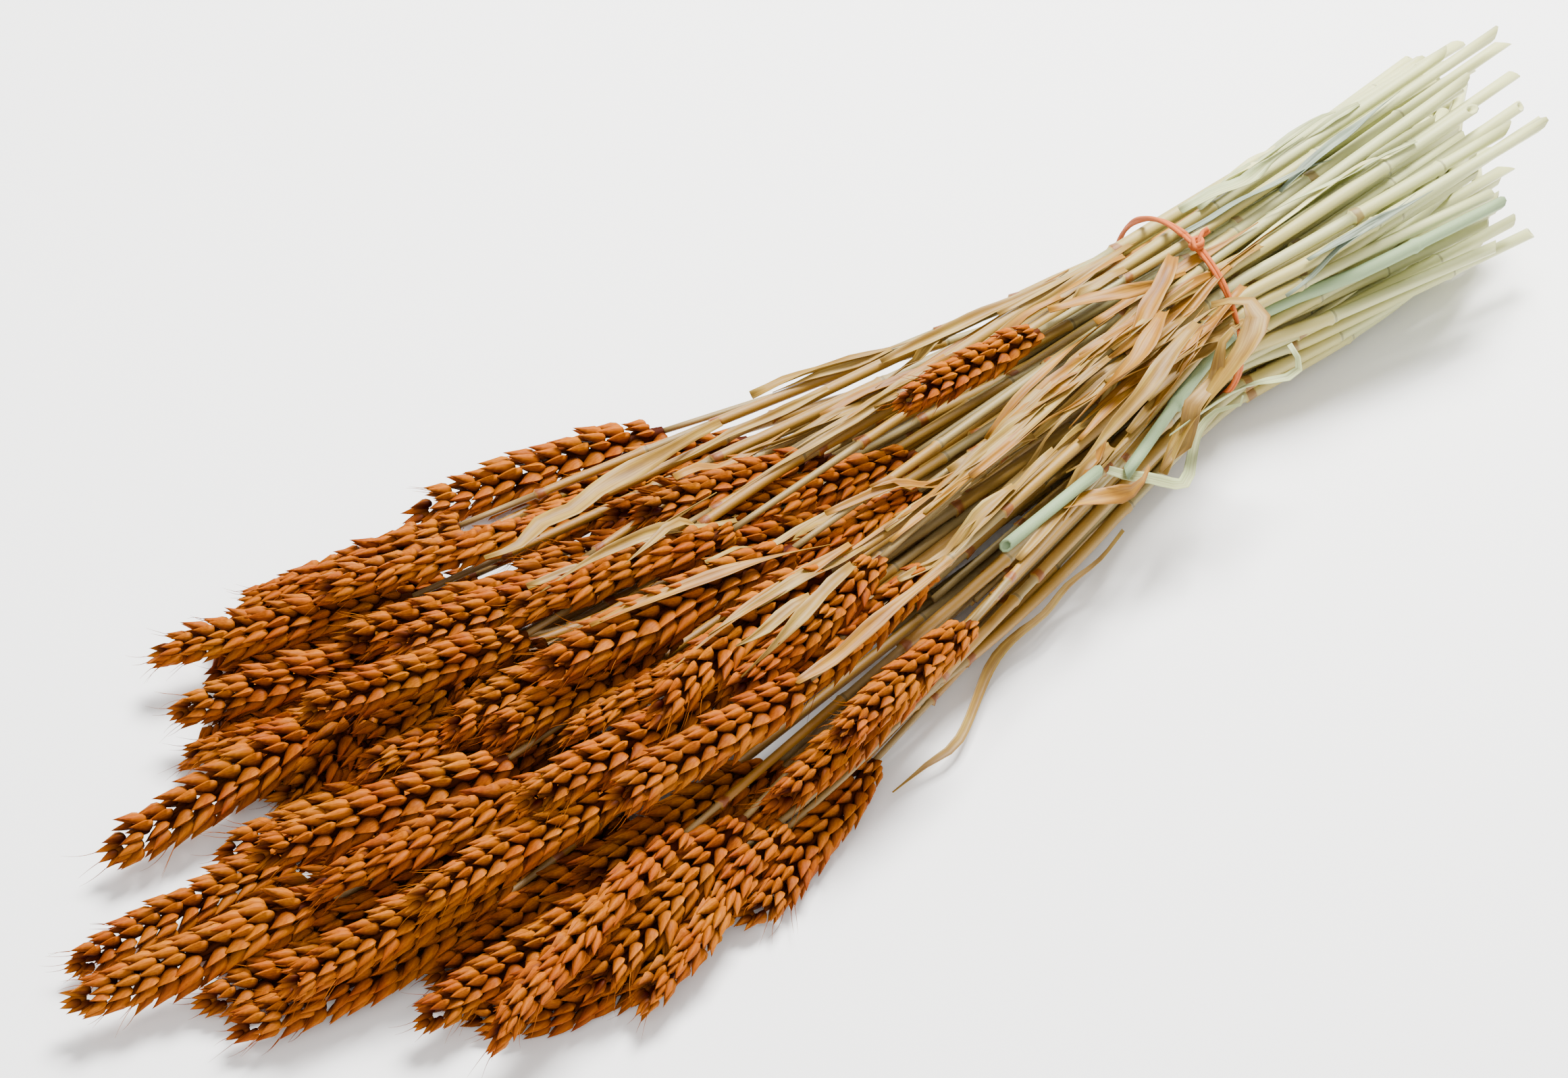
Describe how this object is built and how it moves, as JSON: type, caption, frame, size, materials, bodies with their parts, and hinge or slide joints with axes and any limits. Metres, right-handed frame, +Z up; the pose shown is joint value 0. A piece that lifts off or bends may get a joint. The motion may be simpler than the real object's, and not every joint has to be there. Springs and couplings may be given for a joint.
{
  "type": "tied bunch of dried wheat",
  "caption": "Tied bunch of dyed, awnless wheat lying on its side: plump ears fan out at one end, and pale cut stems spread beyond a cord tie.",
  "frame": {"origin": "middle of the underside of the whole bunch, on the surface that it lies on", "axes": "+X runs along the bunch from the ears to the cut ends, +Z is up"},
  "size_m": [0.6, 0.2024, 0.0745],
  "materials": {
    "stalk": "dry straw with a waxy satin skin, tinted orange near the ears and pale sage past the tie",
    "dyed_ear": "dry papery glumes dyed orange-brown, satin",
    "leaf": "dry papery leaf blade with fine lengthwise veins, matt to satin",
    "cut_straw": "undyed pale green straw, satin",
    "tie_cord": "dyed two-strand twisted paper cord, matt"
  },
  "bodies": {
    "root": {"stalk_01": "stalk", "stalk_02": "stalk", "stalk_03": "stalk", "stalk_04": "stalk", "stalk_05": "stalk", "stalk_06": "stalk", "stalk_07": "stalk", "stalk_08": "stalk", "stalk_09": "stalk", "stalk_10": "stalk", "stalk_11": "stalk", "stalk_12": "stalk", "stalk_13": "stalk", "stalk_14": "stalk", "stalk_15": "stalk", "stalk_16": "stalk", "stalk_17": "stalk", "stalk_18": "stalk", "stalk_19": "stalk", "stalk_20": "stalk", "stalk_21": "stalk", "stalk_22": "stalk", "stalk_23": "stalk", "stalk_24": "stalk", "stalk_25": "stalk", "stalk_26": "stalk", "stalk_27": "stalk", "stalk_28": "stalk", "stalk_29": "stalk", "stalk_30": "stalk", "stalk_31": "stalk", "stalk_32": "stalk", "stalk_33": "stalk", "stalk_34": "stalk", "stalk_35": "stalk", "stalk_36": "stalk", "stalk_37": "stalk", "stalk_38": "stalk", "stalk_39": "stalk", "stalk_40": "stalk", "stalk_41": "stalk", "stalk_42": "stalk", "stalk_43": "stalk", "stalk_44": "stalk", "stalk_45": "stalk", "stalk_46": "stalk", "stalk_47": "stalk", "stalk_48": "stalk", "stalk_49": "stalk", "stalk_50": "stalk", "stalk_51": "stalk", "stalk_52": "stalk", "stalk_53": "stalk", "stalk_54": "stalk", "leaf_edge": "leaf", "leaf_far": "leaf", "leaf_fold": "leaf", "straw_short": "cut_straw", "straw_pale": "cut_straw", "tie_band": "tie_cord"}
  },
  "joints": []
}
